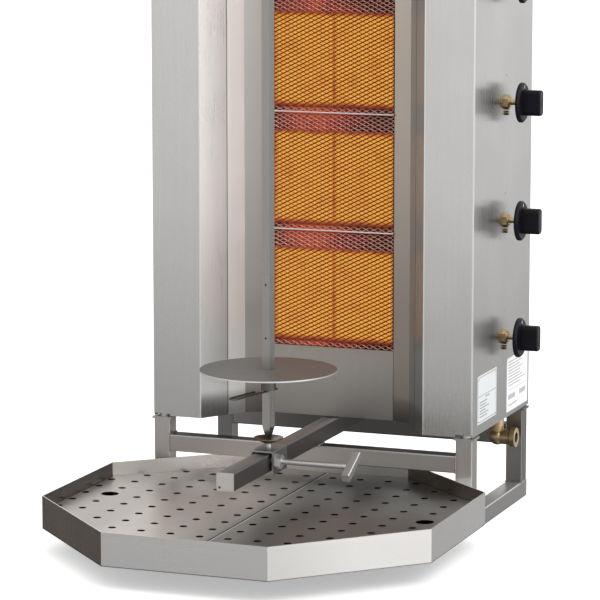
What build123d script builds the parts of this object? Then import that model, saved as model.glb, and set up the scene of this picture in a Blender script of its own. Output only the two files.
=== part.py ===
"""Vertical rotisserie broiler: a gas-fired spit roaster with four burners, as separate parts."""

from build123d import *
import os
from math import atan2, cos, hypot, radians, sin, tan

# ---------------------------------------------------------------- driving dimensions, mm
# Working axes: X across the machine (0 at its centre), Y to the rear (0 at the housing's front), Z up.
TUBE = 25.0               # square tube of the base frame, the beam and the motor arm
TUBE_WALL = 1.5
SHEET = 1.2               # stainless sheet of the housing
HALF_WIDTH = 245.0        # housing and base frame, half of their width
HOUSING_DEPTH = 277.0
FRAME_DEPTH = 271.0
HOUSING_BOTTOM = 139.5    # lower edge of the housing's walls
FLOOR_PANEL = 143.0       # underside of the housing's bottom panel
HOUSING_TOP = 1015.0
LEG_TOP = 135.0
LEG_X = HALF_WIDTH - TUBE / 2
LEG_ROWS = (TUBE / 2, FRAME_DEPTH - TUBE / 2)

BEAM_TOP = 137.0          # carriage beam under the spit
BEAM_FRONT = -326.0
CROSS_RAIL_TOP = 112.0    # front and rear cross rails, which carry the beam
REAR_RAIL_HEIGHT = 29.5
SIDE_RAIL_FRONT = -165.0
OUTRIGGER_FRONT = -285.0

TRAY_BOTTOM = 31.5
TRAY_RIM = 78.0
TRAY_SHEET = 1.5
TRAY_OUTLINE = [(118, -474), (285, -302), (285, -64), (122, 84)]    # right half, front to rear
TRAY_HALF_WIDTH = 285.0
INSERT_SHEET = 1.2
INSERT_GAP = 0.8          # between a perforated plate and the tray's wall
INSERT_MARGIN = 9.0       # from the tray's outside to the centres of the nearest holes
SEAM_X = -4.0             # where the two perforated plates meet
SEAM_Z = 54.2
SEAM_HALF_GAP = 0.6
INSERT_SLOPE = 0.8        # degrees, down towards the seam
HOLE_RADIUS = 5.5
HOLE_COLUMNS = (20.5, 63.2, 106.3, 149.3, 192.0, 235.0, 271.5)    # from the seam
HOLE_PITCH_Y = 45.4
FIRST_ROW_Y = -449.8
FINGER_HOLE_RADIUS = 12.5

BURNERS = 4
BURNER_PITCH = 172.0
MESH_BOTTOM = 242.0
MESH_TOP = MESH_BOTTOM + BURNERS * BURNER_PITCH
MESH_HALF_WIDTH = 98.0
BURNER_HALF_WIDTH = 97.4
MESH_Y = 83.0             # front of the mesh guards
PLAQUE_Y = 98.6           # front face of the ceramic plaques
PLAQUE_THICKNESS = 12.4
PLAQUE_HEIGHT = 139.0
PLAQUE_LIFT = 6.3         # plaque's lower edge above its burner's lower edge
CASE_BACK = 168.0
MIXER_RADIUS = 12.0

WING_FOLD = (170.5, 0.0)  # where the front panel turns into the slanted wing
SEAM_FOLD = (144.5, 41.0)
REFLECTOR_FOLD = (127.5, 67.5)

VALVE_Y = 149.0
VALVE_INNER = 217.0       # inner face of the valve bodies
FIRST_VALVE_Z = 262.0
VALVE_PITCH = 171.0
VALVE_HEIGHTS = [FIRST_VALVE_Z + VALVE_PITCH * index for index in range(BURNERS)]
SCREW_DROP = 15.5         # bypass screw below the valve's axis
TAP_HOLE_RISE = 39.0      # small panel hole above the valve's axis
VALVE_NECK = 8.0          # radius of the threaded neck through the panel
ROTOR_RADIUS = 4.0
KNOB_FACE = 266.3         # back of the knob's flange
KNOB_FLANGE = 5.8
KNOB_RADIUS = 28.7
KNOB_TIP = 298.0

MANIFOLD_X = 218.0
MANIFOLD_Y = 210.0
MANIFOLD_RADIUS = 10.5
MANIFOLD_BOTTOM = 135.0
ELBOW_Z = 101.0
INLET_BORE = 7.5          # radius

SPIT_Y = -166.0
SPIT_SIDE = 12.5
SPIT_TURN = -14.0         # degrees about Z, as the spit stands at rest
SPIT_TOP = 985.0
TIP_Z = 149.0
TIP_SIDE = 3.2
TAPER_Z = 171.0
PIN_Z = 221.0
PIN_PITCH = 75.0
PIN_RADIUS = 1.5
PIN_BEND = 5.5
DISC_RADIUS = 95.7
DISC_TOP = 252.0
DISC_THICKNESS = 2.0
HUB_RADIUS = 10.5
RUNNING_GAP = 0.3         # between parts that slide past each other
SHAFT_GAP = 0.05          # between a shaft and its bore, on the radius

SADDLE_FRONT = -196.0
SADDLE_REAR = -144.0
SADDLE_RIGHT = 19.0
SADDLE_TOP = 142.0
SADDLE_BOTTOM = 109.0
SADDLE_PLATE = 2.5
SCREW_RADIUS = 4.0
SCREW_Y = -186.0
SCREW_Z = 127.0
SCREW_REACH = 124.0       # where the cross bar starts
CROSS_BAR = 11.5
CROSS_BAR_LENGTH = 52.0

ARM_Z = 1032.5            # centre of the arm that carries the motor
ARM_FRONT = -126.0
ARM_REAR = 190.0
GUIDE_FRONT = 12.0
GUIDE_REAR = 132.0
GUIDE_WALL = 3.0
UPPER_SCREW_Y = 72.0
UPPER_REACH = 1092.0
DRIVE_HALF_WIDTH = 65.0
DRIVE_FRONT = -236.0
DRIVE_REAR = -96.0
DRIVE_TOP = 1130.0
BASE_PLATE = 4.0
DRIVE_FLOOR = ARM_Z - TUBE / 2     # top of the base plate under the motor
SOCKET_BOTTOM = 950.0
SOCKET_TOP = 1004.0
SOCKET_RADIUS = 13.5
SHAFT_RADIUS = 7.0
SWITCH_X = 34.0
SWITCH_Z = 1092.0
SWITCH_PIVOT = 5.0        # behind the cover's face
SWITCH_TILT = 8.0         # degrees, with the rocker's lower half pressed in
GLAND_Y = -130.0
GLAND_Z = 1060.0
GLAND_RADIUS = 8.0

ORIGIN = Vector((KNOB_TIP - TRAY_HALF_WIDTH) / 2, (TRAY_OUTLINE[0][1] + HOUSING_DEPTH) / 2, 0)


# ---------------------------------------------------------------- shared shapes
def block(x0, x1, y0, y1, z0, z1):
    """Box between two corners."""
    return Pos((x0 + x1) / 2, (y0 + y1) / 2, (z0 + z1) / 2) * Box(x1 - x0, y1 - y0, z1 - z0)


def rod(start, direction, radius, length):
    """Round bar from a point along a direction."""
    return extrude(Plane(start, z_dir=direction) * Circle(radius), length)


def rod_x(x0, x1, y, z, radius):
    """Round bar along X."""
    return rod((x0, y, z), (1, 0, 0), radius, x1 - x0)


def rod_z(x, y, z0, z1, radius):
    """Round bar along Z."""
    return rod((x, y, z0), (0, 0, 1), radius, z1 - z0)


def hexagon(start, direction, across_flats, height):
    """Hexagonal prism from a point along a direction."""
    return extrude(Plane(start, z_dir=direction) * RegularPolygon(across_flats / 3**0.5, 6), height)


def frame_tube(start, direction, length, height=TUBE):
    """Tube with rounded corners along the line that leaves a point, square unless a height is given."""
    inside = (TUBE - 2 * TUBE_WALL, height - 2 * TUBE_WALL)
    section = RectangleRounded(TUBE, height, 2) - RectangleRounded(*inside, 0.6)
    across = (0, 1, 0) if direction[0] else (1, 0, 0)
    return extrude(Plane(start, x_dir=across, z_dir=direction) * section, length)


def folded_sheet(points, bottom, top):
    """Upright folded sheet: the points are its face, and the metal lies to the left of their line."""
    directions = []
    for (x0, y0), (x1, y1) in zip(points, points[1:]):
        directions.append(atan2(y1 - y0, x1 - x0))
    arriving = [directions[0], *directions]
    leaving = [*directions, directions[-1]]
    far_side = []
    for (x, y), before, after in zip(points, arriving, leaving):
        reach = SHEET / cos((after - before) / 2)
        normal = (before + after) / 2 + radians(90)
        far_side.append((x + reach * cos(normal), y + reach * sin(normal)))
    outline = Polyline(*points, *reversed(far_side), close=True)
    return extrude(Pos(0, 0, bottom) * make_face(outline), top - bottom)


def mirrored(shape):
    """The same part on the machine's other side."""
    return mirror(shape, about=Plane.YZ)


def save(name, *shapes):
    """Write one node's solids, with the origin moved to the centre of the machine's footprint."""
    solids = [Pos(-ORIGIN) * solid for shape in shapes for solid in shape.solids()]
    export_step(Compound(label=name, children=solids), f"parts/{name}.step")


# ---------------------------------------------------------------- base frame
def rails_and_legs():
    half = TUBE / 2
    rails = []
    legs = []
    for x in (-LEG_X, LEG_X):
        rails.append(frame_tube((x, SIDE_RAIL_FRONT, half), (0, 1, 0), FRAME_DEPTH - SIDE_RAIL_FRONT))
        for y in LEG_ROWS:
            legs.append(frame_tube((x, y, TUBE), (0, 0, 1), LEG_TOP - TUBE))
    save("side_rails", *rails)
    save("legs", *legs)

    span = HALF_WIDTH - TUBE
    cross_places = [
        (LEG_ROWS[0], CROSS_RAIL_TOP, TUBE),
        (LEG_ROWS[1], CROSS_RAIL_TOP, REAR_RAIL_HEIGHT),
        (SIDE_RAIL_FRONT + half, TUBE, TUBE),
    ]
    cross_rails = []
    for y, top, height in cross_places:
        cross_rails.append(frame_tube((-span, y, top - height / 2), (1, 0, 0), 2 * span, height))
    save("cross_rails", *cross_rails)
    outrigger_length = SIDE_RAIL_FRONT - OUTRIGGER_FRONT
    save("outrigger_rail", frame_tube((0, OUTRIGGER_FRONT, half), (0, 1, 0), outrigger_length))
    beam_length = FRAME_DEPTH - BEAM_FRONT
    save("carriage_beam", frame_tube((0, BEAM_FRONT, BEAM_TOP - half), (0, 1, 0), beam_length))


def end_caps():
    half = TUBE / 2
    hollow = TUBE - 2 * TUBE_WALL
    places = [
        (-LEG_X, SIDE_RAIL_FRONT, half, -1),
        (LEG_X, SIDE_RAIL_FRONT, half, -1),
        (-LEG_X, FRAME_DEPTH, half, 1),
        (LEG_X, FRAME_DEPTH, half, 1),
        (0, OUTRIGGER_FRONT, half, -1),
        (0, BEAM_FRONT, BEAM_TOP - half, -1),
        (0, FRAME_DEPTH, BEAM_TOP - half, 1),
    ]
    caps = []
    for x, y, z, out in places:
        face = Plane((x, y, z), x_dir=(1, 0, 0), z_dir=(0, out, 0))
        flange = extrude(face * RectangleRounded(TUBE, TUBE, 2), 2)
        plug = extrude(face * RectangleRounded(hollow, hollow, 0.6), -9)
        caps.append(flange + plug)
    save("tube_end_caps", *caps)


def housing_fixings():
    """Plates welded on the legs, with bosses that the housing is bolted to, and the bolts."""
    plates = []
    bolts = []
    for x in (-LEG_X, LEG_X):
        for y in LEG_ROWS:
            plate = block(x - 15, x + 15, y - 14, y + 14, LEG_TOP, LEG_TOP + 3)
            plate += rod_z(x, y, LEG_TOP + 3, FLOOR_PANEL, 8)
            plates.append(plate - rod_z(x, y, LEG_TOP, FLOOR_PANEL, 3))
            seat = FLOOR_PANEL + SHEET
            bolts.append(rod_z(x, y, LEG_TOP - 6, seat, 3) + hexagon((x, y, seat), (0, 0, 1), 10, 4))
    save("leg_top_plates", *plates)
    save("housing_bolts", *bolts)


def tray_pads():
    places = [(-LEG_X, -75), (LEG_X, -75), (0, OUTRIGGER_FRONT + 14)]
    save("tray_pads", *[rod_z(x, y, TUBE, TRAY_BOTTOM, 10) for x, y in places])


# ---------------------------------------------------------------- drip tray
def tray_plan():
    """Plan of the tray's outside."""
    left = [(-x, y) for x, y in reversed(TRAY_OUTLINE)]
    return make_face(Polyline(*TRAY_OUTLINE, *left, close=True))


def inside_tray(inset):
    """Plan of the tray, drawn in by a distance."""
    return offset(tray_plan(), amount=-inset, kind=Kind.INTERSECTION)


def tray_insert(side, finger_hole):
    """One perforated plate, which slopes to the seam and stands on turned-down lips."""
    far = TRAY_HALF_WIDTH - TRAY_SHEET - INSERT_GAP
    rise = far * tan(radians(INSERT_SLOPE))
    half_plan = Pos(SEAM_X + side * (300 + SEAM_HALF_GAP), -195) * Rectangle(600, 700)
    layer = block(-400, 400, -500, 120, -INSERT_SHEET, 0)
    layer = Pos(SEAM_X, 0, SEAM_Z) * Rot(0, -side * INSERT_SLOPE, 0) * layer
    outline = inside_tray(TRAY_SHEET + INSERT_GAP) & half_plan
    plate = extrude(outline, SEAM_Z + 2 * rise) & layer

    foot = TRAY_BOTTOM + TRAY_SHEET
    near = sorted((SEAM_X + side * SEAM_HALF_GAP, SEAM_X + side * (SEAM_HALF_GAP + INSERT_SHEET)))
    plate += block(*near, -440, 50, foot, SEAM_Z - INSERT_SHEET / 2)
    outer = sorted((side * far, side * (far - INSERT_SHEET)))
    plate += block(*outer, -290, -76, foot, SEAM_Z + rise - INSERT_SHEET / 2)

    drilled = (inside_tray(INSERT_MARGIN) & half_plan).face()
    for column in HOLE_COLUMNS:
        for row in range(12):
            x = SEAM_X + side * column
            y = FIRST_ROW_Y + row * HOLE_PITCH_Y
            clear = hypot(x - finger_hole[0], y - finger_hole[1]) > 2 * FINGER_HOLE_RADIUS
            if clear and drilled.is_inside((x, y, 0)):
                plate -= rod_z(x, y, SEAM_Z - 6, SEAM_Z + 14, HOLE_RADIUS)
    return plate - rod_z(*finger_hole, SEAM_Z - 6, SEAM_Z + 14, FINGER_HOLE_RADIUS)


def drip_tray():
    outside = extrude(Pos(0, 0, TRAY_BOTTOM) * tray_plan(), TRAY_RIM - TRAY_BOTTOM)
    inside = extrude(Pos(0, 0, TRAY_BOTTOM + TRAY_SHEET) * inside_tray(TRAY_SHEET), TRAY_RIM)
    save("drip_tray", outside - inside)
    save("tray_insert_left", tray_insert(-1, (-239.7, -172.8)))
    save("tray_insert_right", tray_insert(1, (236.3, -184.0)))


# ---------------------------------------------------------------- housing
def front_recess():
    """Plan of the space in front of the burners, with the thickness of the sheets around it."""
    right = [WING_FOLD, SEAM_FOLD, REFLECTOR_FOLD, (MESH_HALF_WIDTH, MESH_Y)]
    left = [(-x, y) for x, y in reversed(right)]
    plan = make_face(Polyline(*right, *left, close=True))
    return offset(plan, amount=SHEET + 0.2, kind=Kind.INTERSECTION)


def housing_panels():
    inner = HALF_WIDTH - SHEET
    back = HOUSING_DEPTH - SHEET
    bottom = block(-inner, inner, SHEET, back, FLOOR_PANEL, FLOOR_PANEL + SHEET)
    bottom -= extrude(Pos(0, 0, FLOOR_PANEL - 5) * front_recess(), 10)
    bottom -= rod_z(MANIFOLD_X, MANIFOLD_Y, FLOOR_PANEL - 5, FLOOR_PANEL + 5, 12)
    for x in (-LEG_X, LEG_X):
        for y in LEG_ROWS:
            bottom -= rod_z(x, y, FLOOR_PANEL - 5, FLOOR_PANEL + 5, 3)
    save("housing_bottom", bottom)

    top = block(-inner, inner, SHEET, back, HOUSING_TOP - SHEET, HOUSING_TOP)
    top -= extrude(Pos(0, 0, HOUSING_TOP - 5) * front_recess(), 10)
    for side in (-1, 1):
        for row in range(8):
            y = 108 + row * 18
            top -= block(side * 135 - 40, side * 135 + 40, y, y + 6, HOUSING_TOP - 5, HOUSING_TOP + 5)
    save("housing_top", top)

    wall = block(inner, HALF_WIDTH, SHEET, back, HOUSING_BOTTOM, HOUSING_TOP)
    save("housing_side_left", mirrored(wall))
    for z in VALVE_HEIGHTS:
        wall -= rod_x(inner - 5, HALF_WIDTH + 5, VALVE_Y, z, VALVE_NECK + SHAFT_GAP)
        wall -= rod_x(inner - 5, HALF_WIDTH + 5, VALVE_Y, z - SCREW_DROP, 2.5 + SHAFT_GAP)
        wall -= rod_x(inner - 5, HALF_WIDTH + 5, VALVE_Y, z + TAP_HOLE_RISE, 1.2)
    save("housing_side_right", wall)

    rear = block(-HALF_WIDTH, HALF_WIDTH, back, HOUSING_DEPTH, HOUSING_BOTTOM, HOUSING_TOP)
    for first in (230, 900):
        for row in range(6):
            z = first + row * 14
            for x in (-110, 110):
                rear -= block(x - 60, x + 60, back - 5, back + 5, z, z + 5)
    save("housing_back", rear)


def front_sheets():
    wing = folded_sheet([SEAM_FOLD, WING_FOLD, (HALF_WIDTH, 0)], HOUSING_BOTTOM, HOUSING_TOP)
    wing -= block(HALF_WIDTH - TUBE, HALF_WIDTH + 1, -1, 5, HOUSING_BOTTOM - 1, FLOOR_PANEL)
    save("front_wing_right", wing)
    save("front_wing_left", mirrored(wing))

    near_seam = (SEAM_FOLD[0] - 0.4, SEAM_FOLD[1] + 0.7)
    reflector_line = [(MESH_HALF_WIDTH, MESH_Y), REFLECTOR_FOLD, near_seam]
    reflector = folded_sheet(reflector_line, HOUSING_BOTTOM, HOUSING_TOP)
    save("reflector_right", reflector)
    save("reflector_left", mirrored(reflector))

    aprons = {"apron_bottom": (HOUSING_BOTTOM, MESH_BOTTOM), "apron_top": (MESH_TOP, HOUSING_TOP)}
    for name, (low, high) in aprons.items():
        save(name, block(-BURNER_HALF_WIDTH, BURNER_HALF_WIDTH, MESH_Y, MESH_Y + SHEET, low, high))

    radius = 1.4
    rods = []
    for index in range(1, BURNERS):
        z = MESH_BOTTOM + index * BURNER_PITCH
        rods.append(rod_x(-BURNER_HALF_WIDTH, BURNER_HALF_WIDTH, MESH_Y - radius, z, radius))
    save("guard_rods", *rods)


# ---------------------------------------------------------------- burners and gas line
def burners():
    half = BURNER_HALF_WIDTH
    wall = 1.5
    front = MESH_Y + 3
    cases = []
    plaques = []
    guards = []
    for index in range(BURNERS):
        bottom = MESH_BOTTOM + index * BURNER_PITCH + 0.5
        top = bottom + BURNER_PITCH - 1
        low = bottom - 0.5 + PLAQUE_LIFT
        high = low + PLAQUE_HEIGHT
        case = block(-half, half, front, CASE_BACK, bottom, top)
        chamber = PLAQUE_Y + PLAQUE_THICKNESS
        case -= block(-half + wall, half - wall, chamber, CASE_BACK - wall, bottom + wall, top - wall)
        case -= block(-half + 2, half - 2, front - 1, chamber + 1, low, high)
        case -= rod_x(half - 5, half + 5, VALVE_Y, VALVE_HEIGHTS[index], MIXER_RADIUS + SHAFT_GAP)
        cases.append(case)
        for side in (-1, 1):
            span = sorted((side * 0.3, side * (half - 2.1)))
            plaques.append(block(*span, PLAQUE_Y, chamber, low + 0.1, high - 0.1))
        guards.append(block(-half, half, MESH_Y, MESH_Y + 1, bottom, top))
    save("burner_cases", *cases)
    save("ceramic_plaques", *plaques)
    save("mesh_guards", *guards)


def mixer_tubes():
    """Air and gas mixing tubes, flared at the mouth that faces the injector."""
    start = BURNER_HALF_WIDTH - 14
    neck = BURNER_HALF_WIDTH + 68
    mouth = neck + 14
    inner = MIXER_RADIUS - 1.4
    profile = [
        (start, MIXER_RADIUS), (neck, MIXER_RADIUS), (mouth, 17),
        (mouth, 15.6), (neck, inner), (start, inner),
    ]
    tubes = []
    for z in VALVE_HEIGHTS:
        section = make_face(Polyline(*[(x, VALVE_Y, z + radius) for x, radius in profile], close=True))
        tubes.append(revolve(section, Axis((0, VALVE_Y, z), (1, 0, 0)), 360))
    save("mixer_tubes", *tubes)


def gas_line():
    top = VALVE_HEIGHTS[-1] + 30
    manifold = rod_z(MANIFOLD_X, MANIFOLD_Y, MANIFOLD_BOTTOM, top, MANIFOLD_RADIUS)
    for z in VALVE_HEIGHTS:
        manifold += rod((MANIFOLD_X, VALVE_Y + 12, z), (0, 1, 0), 6.5, MANIFOLD_Y - VALVE_Y - 12)
    manifold -= rod_z(MANIFOLD_X, MANIFOLD_Y, MANIFOLD_BOTTOM, top - 4, MANIFOLD_RADIUS - 2.3)
    save("gas_manifold", manifold)

    corner = (MANIFOLD_X, MANIFOLD_Y, ELBOW_Z)
    end_x = HALF_WIDTH - 6
    elbow = rod_z(MANIFOLD_X, MANIFOLD_Y, ELBOW_Z, MANIFOLD_BOTTOM, 9.5)
    elbow += Pos(*corner) * Sphere(12.8)
    elbow += rod_x(MANIFOLD_X, end_x, MANIFOLD_Y, ELBOW_Z, 11.4)
    elbow -= rod_z(MANIFOLD_X, MANIFOLD_Y, ELBOW_Z, MANIFOLD_BOTTOM + 1, 6.5)
    elbow -= rod_x(MANIFOLD_X, end_x + 1, MANIFOLD_Y, ELBOW_Z, INLET_BORE)
    save("gas_elbow", elbow)
    union = rod_x(end_x, end_x + 8, MANIFOLD_Y, ELBOW_Z, 14.5)
    save("inlet_union", union - rod_x(end_x - 1, end_x + 9, MANIFOLD_Y, ELBOW_Z, INLET_BORE))


def valves():
    panel = HALF_WIDTH - SHEET
    face = HALF_WIDTH
    nozzle = VALVE_INNER - 16
    bodies = []
    nuts = []
    screws = []
    for z in VALVE_HEIGHTS:
        low = z - SCREW_DROP
        body = block(VALVE_INNER, panel, VALVE_Y - 12, VALVE_Y + 12, z - 20, z + 12)
        body += rod_x(nozzle, VALVE_INNER, VALVE_Y, z, 5)
        body += rod_x(panel, face + 7, VALVE_Y, z, VALVE_NECK)
        body -= rod_x(nozzle, VALVE_INNER + 6, VALVE_Y, z, 0.6)
        body -= rod_x(VALVE_INNER + 5.9, face + 8, VALVE_Y, z, ROTOR_RADIUS + SHAFT_GAP)
        body -= rod_x(VALVE_INNER + 12, panel + 1, VALVE_Y, low, 2.5)
        bodies.append(body)
        nut = hexagon((face, VALVE_Y, z), (1, 0, 0), 19, 5)
        nuts.append(nut - rod_x(face, face + 5, VALVE_Y, z, VALVE_NECK + SHAFT_GAP))
        screw = rod_x(VALVE_INNER + 12, face, VALVE_Y, low, 2.5)
        screw += rod_x(face, face + 4, VALVE_Y, low, 3.4)
        slot = block(face + 3, face + 5, VALVE_Y - 5, VALVE_Y + 5, low - 0.5, low + 0.5)
        screws.append(screw - slot)
    save("valve_bodies", *bodies)
    save("valve_nuts", *nuts)
    save("bypass_screws", *screws)


def knobs():
    """Valve rotors, and the knobs on them, which turn with the rotor and press in."""
    rotor_end = KNOB_FACE + 10
    for index, z in enumerate(VALVE_HEIGHTS, start=1):
        rotor_start = VALVE_INNER + 6
        save(f"valve_rotor_{index}", rod_x(rotor_start, rotor_end, VALVE_Y, z, ROTOR_RADIUS))
        flange = rod_x(KNOB_FACE, KNOB_FACE + KNOB_FLANGE, VALVE_Y, z, KNOB_RADIUS)
        flange = chamfer(flange.edges().filter_by(GeomType.CIRCLE).sort_by(Axis.X)[-1], 2.5)
        grip = block(KNOB_FACE + KNOB_FLANGE, KNOB_TIP, VALVE_Y - 9, VALVE_Y + 9, z - 18.3, z + 18.3)
        grip = fillet(grip.edges().filter_by(Axis.X), 6)
        grip = fillet(grip.faces().sort_by(Axis.X)[-1].edges(), 2)
        bore = rod_x(KNOB_FACE - 1, rotor_end + 4.5, VALVE_Y, z, ROTOR_RADIUS + SHAFT_GAP)
        save(f"knob_{index}", flange + grip - bore)


def rating_plate():
    save("rating_plate", block(HALF_WIDTH, HALF_WIDTH + 0.8, 22, 112, 154, 224))


# ---------------------------------------------------------------- spit and its lower carriage
def on_spit(shape):
    """Turn a shape that is square to the machine so that it is square to the spit at rest."""
    return Pos(0, SPIT_Y, 0) * Rot(0, 0, SPIT_TURN) * shape


def spit():
    side = SPIT_SIDE
    bar = block(-side / 2, side / 2, -side / 2, side / 2, TAPER_Z, SPIT_TOP)
    wide = Pos(0, 0, TAPER_Z) * Rectangle(side, side)
    narrow = Pos(0, 0, TIP_Z) * Rectangle(TIP_SIDE, TIP_SIDE)
    bar += loft([narrow.face(), wide.face()])
    for index in range(3):
        bar -= rod((0, -side, PIN_Z + index * PIN_PITCH), (0, 1, 0), PIN_RADIUS + SHAFT_GAP, 2 * side)
    save("spit_bar", on_spit(bar))

    hub_bottom = PIN_Z + PIN_RADIUS + 0.1
    disc = rod_z(0, 0, DISC_TOP - DISC_THICKNESS, DISC_TOP, DISC_RADIUS)
    disc += rod_z(0, 0, hub_bottom, DISC_TOP - DISC_THICKNESS, HUB_RADIUS)
    square = side / 2 + RUNNING_GAP
    disc -= block(-square, square, -square, square, hub_bottom - 1, DISC_TOP + 1)
    save("spit_disc", on_spit(disc))


def spit_pin():
    """Bent wire: a straight leg through the spit, and a loop that comes back beside it."""
    behind = 21.0
    leg_end = -74.0
    second = -2 * PIN_BEND
    bend_middle = (-PIN_BEND, leg_end - PIN_BEND, PIN_Z)
    path = Line((0, behind, PIN_Z), (0, leg_end, PIN_Z))
    path += ThreePointArc((0, leg_end, PIN_Z), bend_middle, (second, leg_end, PIN_Z))
    path += Line((second, leg_end, PIN_Z), (second, -18, PIN_Z))
    wire = sweep(Plane((0, behind, PIN_Z), z_dir=(0, -1, 0)) * Circle(PIN_RADIUS), path=path)
    save("spit_pin", on_spit(wire))


def clamp_screw(start, direction, length, bar_direction):
    """Threaded rod from a point, with a square cross bar on its outer end."""
    section = RectangleRounded(CROSS_BAR, CROSS_BAR, 1.5)
    across = Plane((0, 0, length + CROSS_BAR / 2), z_dir=(1, 0, 0))
    bar = extrude(across * section, CROSS_BAR_LENGTH / 2, both=True)
    screw = rod_z(0, 0, 0, length + 1, SCREW_RADIUS) + bar
    return Plane(start, x_dir=bar_direction, z_dir=direction) * screw


def carriage():
    """Saddle that slides on the beam, the cup that the spit stands in, and the clamp."""
    left = -TUBE / 2 - RUNNING_GAP - SADDLE_PLATE
    shelf = SADDLE_TOP - SADDLE_PLATE
    saddle = block(left, SADDLE_RIGHT, SADDLE_FRONT, SADDLE_REAR, SADDLE_BOTTOM, SADDLE_TOP)
    saddle = fillet(saddle.faces().sort_by(Axis.Z)[-1].edges().filter_by(Axis.Y), 2)
    right = SADDLE_RIGHT - SADDLE_PLATE
    saddle -= block(left + SADDLE_PLATE, right, SADDLE_FRONT - 1, SADDLE_REAR + 1, 0, shelf)
    saddle += hexagon((SADDLE_RIGHT, SCREW_Y, SCREW_Z), (1, 0, 0), 18, 9)
    saddle -= rod_x(SADDLE_RIGHT - 5, SADDLE_RIGHT + 10, SCREW_Y, SCREW_Z, SCREW_RADIUS + SHAFT_GAP)
    saddle -= rod_z(0, SPIT_Y, shelf - 1, SADDLE_TOP + 1, 3)
    save("saddle", saddle)

    foot = BEAM_TOP + RUNNING_GAP
    floor = TIP_Z - RUNNING_GAP
    profile = [
        (0, foot), (6, foot), (6, shelf), (3, shelf), (3, SADDLE_TOP), (4.2, SADDLE_TOP), (4.2, 146.5),
        (5.5, 147.0), (20.5, 154.2), (20.5, 155.6), (19.6, 155.6), (4.5, floor), (0, floor),
    ]
    section = make_face(Polyline(*[(radius, SPIT_Y, z) for radius, z in profile], close=True))
    save("spit_cup", revolve(section, Axis((0, SPIT_Y, 0), (0, 0, 1)), 360))

    pad = TUBE / 2 + RUNNING_GAP
    save("clamp_pad", rod_x(pad, pad + 2, SCREW_Y, SCREW_Z, 5))
    start = pad + 2.1
    screw = clamp_screw((start, SCREW_Y, SCREW_Z), (1, 0, 0), SCREW_REACH - start, (0, -47, -24))
    save("clamp_screw", screw)


# ---------------------------------------------------------------- upper arm and drive
def upper_guide():
    """Sleeve on the housing's top, in which the motor arm slides, and its clamp."""
    hollow = TUBE / 2 + RUNNING_GAP
    half = hollow + GUIDE_WALL
    foot_front = GUIDE_REAR - 32
    guide = block(-half, half, GUIDE_FRONT, GUIDE_REAR, ARM_Z - half, ARM_Z + half)
    guide += block(-half, half, foot_front, GUIDE_REAR, HOUSING_TOP, ARM_Z)
    guide += block(-55, 55, foot_front, GUIDE_REAR + 30, HOUSING_TOP, HOUSING_TOP + 3)
    guide += hexagon((0, UPPER_SCREW_Y, ARM_Z + half), (0, 0, 1), 18, 9)
    guide -= block(-hollow, hollow, GUIDE_FRONT - 1, GUIDE_REAR + 40, ARM_Z - hollow, ARM_Z + hollow)
    guide -= rod_z(0, UPPER_SCREW_Y, ARM_Z, ARM_Z + half + 10, SCREW_RADIUS + SHAFT_GAP)
    save("upper_guide", guide)
    pad = ARM_Z + hollow
    save("upper_clamp_pad", rod_z(0, UPPER_SCREW_Y, pad, pad + 2, SCREW_RADIUS))
    start = pad + 2.1
    screw = clamp_screw((0, UPPER_SCREW_Y, start), (0, 0, 1), UPPER_REACH - start, (0.9, 0.4, 0))
    save("upper_clamp_screw", screw)


def motor_arm():
    """Square tube with the base plate of the drive welded under its front end."""
    arm = frame_tube((0, ARM_FRONT, ARM_Z), (0, 1, 0), ARM_REAR - ARM_FRONT)
    half = DRIVE_HALF_WIDTH
    plate = block(-half, half, DRIVE_FRONT, DRIVE_REAR, DRIVE_FLOOR - BASE_PLATE, DRIVE_FLOOR)
    plate = fillet(plate.edges().filter_by(Axis.Z), 4)
    plate -= rod_z(0, SPIT_Y, DRIVE_FLOOR - 10, DRIVE_FLOOR + 1, SHAFT_RADIUS + 4)
    save("motor_arm", arm + plate)


def motor_cover():
    half = DRIVE_HALF_WIDTH
    cover = block(-half, half, DRIVE_FRONT, DRIVE_REAR, DRIVE_FLOOR, DRIVE_TOP)
    cover = fillet(cover.edges().filter_by(Axis.Z), 4)
    cover = fillet(cover.faces().sort_by(Axis.Z)[-1].edges(), 2)
    inner = half - SHEET
    cover -= block(-inner, inner, DRIVE_FRONT + SHEET, DRIVE_REAR - SHEET, 0, DRIVE_TOP - SHEET)
    arm_half = TUBE / 2 + 0.1
    cover -= block(-arm_half, arm_half, DRIVE_REAR - 5, DRIVE_REAR + 5, 0, ARM_Z + arm_half)
    cover -= switch_block(9.5, 13.5, -5, 5)
    cover -= rod_x(-half - 5, -half + 5, GLAND_Y, GLAND_Z, GLAND_RADIUS + SHAFT_GAP)
    save("motor_cover", cover)

    gland = rod_x(-half - 3, -half, GLAND_Y, GLAND_Z, 11)
    gland += rod_x(-half, -half + 10, GLAND_Y, GLAND_Z, GLAND_RADIUS)
    gland += hexagon((-half - 15, GLAND_Y, GLAND_Z), (1, 0, 0), 18, 12)
    save("cable_gland", gland - rod_x(-half - 16, -half + 11, GLAND_Y, GLAND_Z, 3.6))


def switch_block(half_width, half_height, front, back):
    """Box about the switch's middle; front and back are measured from the cover's face."""
    return block(SWITCH_X - half_width, SWITCH_X + half_width, DRIVE_FRONT + front, DRIVE_FRONT + back,
                 SWITCH_Z - half_height, SWITCH_Z + half_height)


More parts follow.
